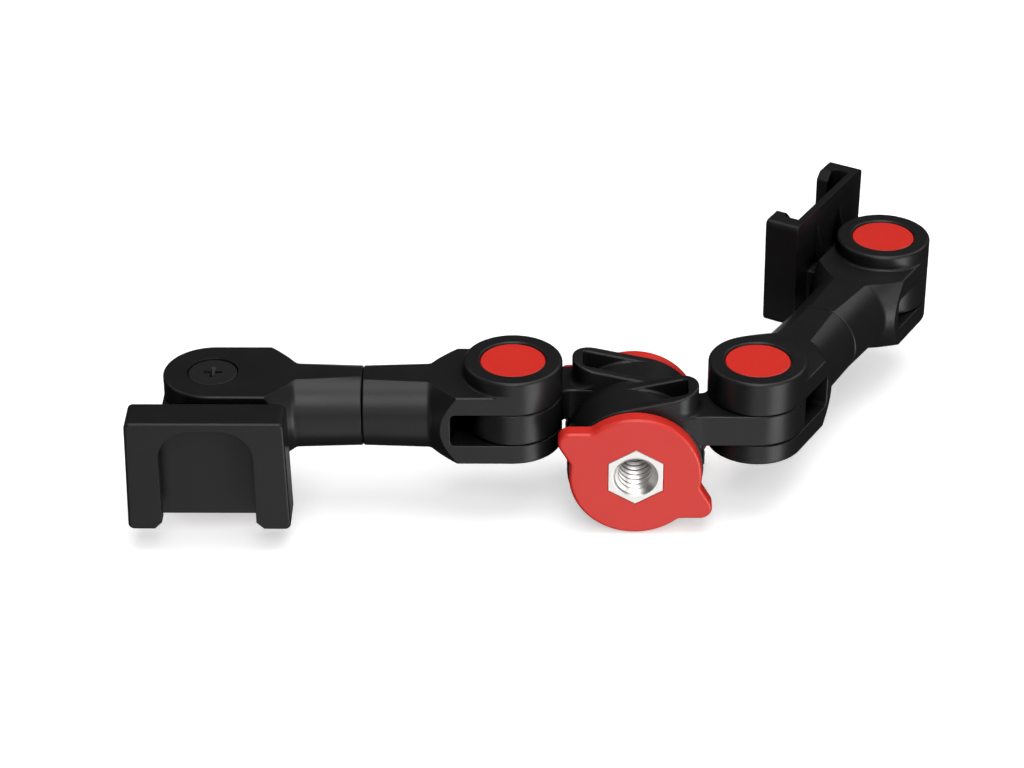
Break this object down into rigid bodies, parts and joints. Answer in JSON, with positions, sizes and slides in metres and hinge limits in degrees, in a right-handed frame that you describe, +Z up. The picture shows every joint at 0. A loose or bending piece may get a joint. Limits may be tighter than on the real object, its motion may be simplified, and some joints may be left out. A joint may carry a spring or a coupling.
{
  "type": "cold shoe extension bar",
  "caption": "Compact camera accessory bar: a threaded hub carries hinged, swivelling arms, each ending in a pivoting cold shoe.",
  "frame": {"origin": "middle of the hub's through thread, on the thread's axis", "axes": "thread axis is Y with its front mouth towards -Y; +Z up along the hinge pins at rest; the straight arm lies along -X"},
  "size_m": [0.1235, 0.0722, 0.0289],
  "materials": {
    "black_plastic": "fine moulded texture, satin",
    "red_plastic": "smooth moulded, satin",
    "machined_steel": "turned and plated",
    "black_steel": "blackened",
    "plated_steel": "zinc plated",
    "spring_steel": "oiled"
  },
  "bodies": {
    "hub": {"hub_body": "black_plastic"},
    "wheels": {"front_wheel": "red_plastic", "rear_wheel": "red_plastic", "thread_sleeve": "machined_steel"},
    "left_inner_arm": {"left_inner_fork": "black_plastic", "left_inner_hinge_screw": "black_steel", "left_inner_hinge_nut": "plated_steel", "left_inner_hinge_spring": "spring_steel", "left_inner_hinge_cap": "red_plastic"},
    "left_outer_arm": {"left_outer_fork": "black_plastic", "left_outer_hinge_screw": "black_steel", "left_outer_hinge_nut": "plated_steel", "left_outer_hinge_spring": "spring_steel", "left_outer_hinge_cap": "red_plastic", "left_swivel_screw": "plated_steel", "left_swivel_nut": "plated_steel", "left_swivel_spring": "spring_steel"},
    "left_shoe": {"left_shoe": "black_plastic"},
    "right_inner_arm": {"right_inner_fork": "black_plastic", "right_inner_hinge_screw": "black_steel", "right_inner_hinge_nut": "plated_steel", "right_inner_hinge_spring": "spring_steel", "right_inner_hinge_cap": "red_plastic"},
    "right_outer_arm": {"right_outer_fork": "black_plastic", "right_outer_hinge_screw": "black_steel", "right_outer_hinge_nut": "plated_steel", "right_outer_hinge_spring": "spring_steel", "right_outer_hinge_cap": "red_plastic", "right_swivel_screw": "plated_steel", "right_swivel_nut": "plated_steel", "right_swivel_spring": "spring_steel"},
    "right_shoe": {"right_shoe": "black_plastic"}
  },
  "joints": [
    {"name": "wheel_spin", "type": "hinge", "parent": "hub", "child": "wheels", "pos_m": [0, 0, 0], "axis": [0, 1, 0], "continuous": true},
    {"name": "left_arm_hinge", "type": "hinge", "parent": "hub", "child": "left_inner_arm", "pos_m": [-0.0183, 0, 0.0062], "axis": [0, 0, 1], "range_deg": [-85, 85]},
    {"name": "left_swivel", "type": "hinge", "parent": "left_inner_arm", "child": "left_outer_arm", "pos_m": [-0.0408, 0, 0.0062], "axis": [-1, 0, 0], "continuous": true},
    {"name": "left_shoe_hinge", "type": "hinge", "parent": "left_outer_arm", "child": "left_shoe", "pos_m": [-0.0633, 0, 0.0062], "axis": [0, 0, 1], "range_deg": [-188, 8]},
    {"name": "right_arm_hinge", "type": "hinge", "parent": "hub", "child": "right_inner_arm", "pos_m": [0.0183, 0, 0.0062], "axis": [0, 0, 1], "range_deg": [-145, 24]},
    {"name": "right_swivel", "type": "hinge", "parent": "right_inner_arm", "child": "right_outer_arm", "pos_m": [0.02948, 0.01952, 0.0062], "axis": [0.497, 0.8678, 0], "continuous": true},
    {"name": "right_shoe_hinge", "type": "hinge", "parent": "right_outer_arm", "child": "right_shoe", "pos_m": [0.04066, 0.03905, 0.0062], "axis": [0, 0, 1], "range_deg": [-188, 8]}
  ]
}
